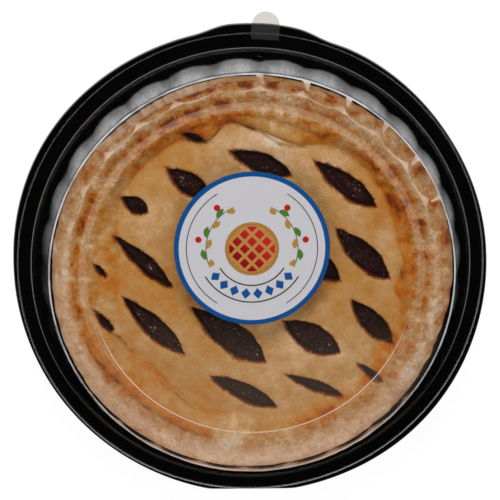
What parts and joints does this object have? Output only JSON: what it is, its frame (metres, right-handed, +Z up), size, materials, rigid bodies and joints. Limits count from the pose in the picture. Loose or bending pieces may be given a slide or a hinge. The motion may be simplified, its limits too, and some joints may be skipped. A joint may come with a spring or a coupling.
{
  "type": "packed cherry pie",
  "caption": "Baked fruit pie with a slit top crust over a dark cherry filling, shut in a round black tray under a clear fluted dome lid that bears a round paper label.",
  "frame": {"origin": "middle of the flat underside of the tray", "axes": "+Z up out of the tray, +Y towards the lift tab of the lid, +X to the right of it"},
  "size_m": [0.239, 0.2457, 0.0494],
  "materials": {
    "tray": "glossy moulded black sheet",
    "crust": "baked pastry, pale gold on top and browned at the rim and its crimps",
    "filling": "dark glazed cherry filling",
    "lid": "clear moulded sheet",
    "label": "satin printed paper with a blue edge ring"
  },
  "bodies": {
    "root": {"tray": "tray", "crust": "crust", "filling": "filling", "lid": "lid", "label": "label"}
  },
  "joints": []
}
